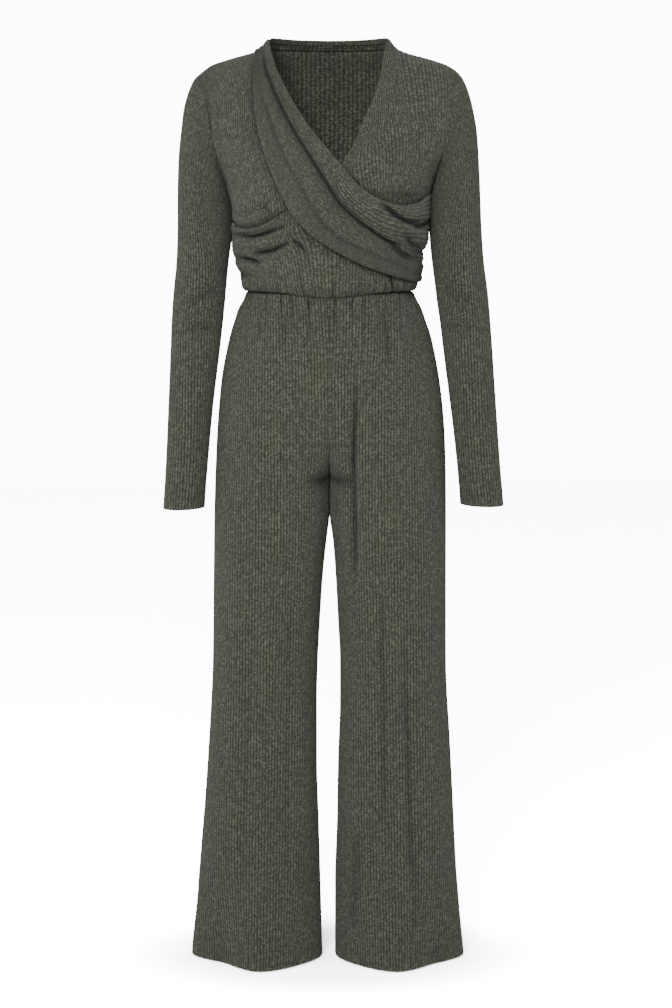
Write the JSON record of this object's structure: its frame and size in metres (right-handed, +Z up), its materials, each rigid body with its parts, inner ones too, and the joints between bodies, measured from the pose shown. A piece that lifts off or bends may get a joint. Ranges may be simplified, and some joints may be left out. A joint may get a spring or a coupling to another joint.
{
  "type": "jumpsuit",
  "caption": "Rib-knit jumpsuit: crossed V-neck bodice with a gathered drape, long fitted sleeves, seamed waist and wide straight legs, filled out and hollow.",
  "frame": {"origin": "midway between the shoulder points, at shoulder height, where the wearer's shoulders carry the garment", "axes": "+Z up towards the neck, the front faces -Y, +X to the viewer's right (the wearer's left)"},
  "size_m": [0.5262, 0.2583, 1.4406],
  "materials": {
    "rib_knit": "matt heather rib knit",
    "band_knit": "matt heather rib knit, folded band"
  },
  "bodies": {
    "root": {"bodice_back": "rib_knit", "neckband_back": "band_knit", "bodice_front_right": "rib_knit", "bodice_front_left": "rib_knit", "drape_over": "rib_knit", "sleeve_right": "rib_knit", "sleeve_left": "rib_knit", "trouser_front_right": "rib_knit", "trouser_front_left": "rib_knit", "trouser_back_right": "rib_knit", "trouser_back_left": "rib_knit"}
  },
  "joints": []
}
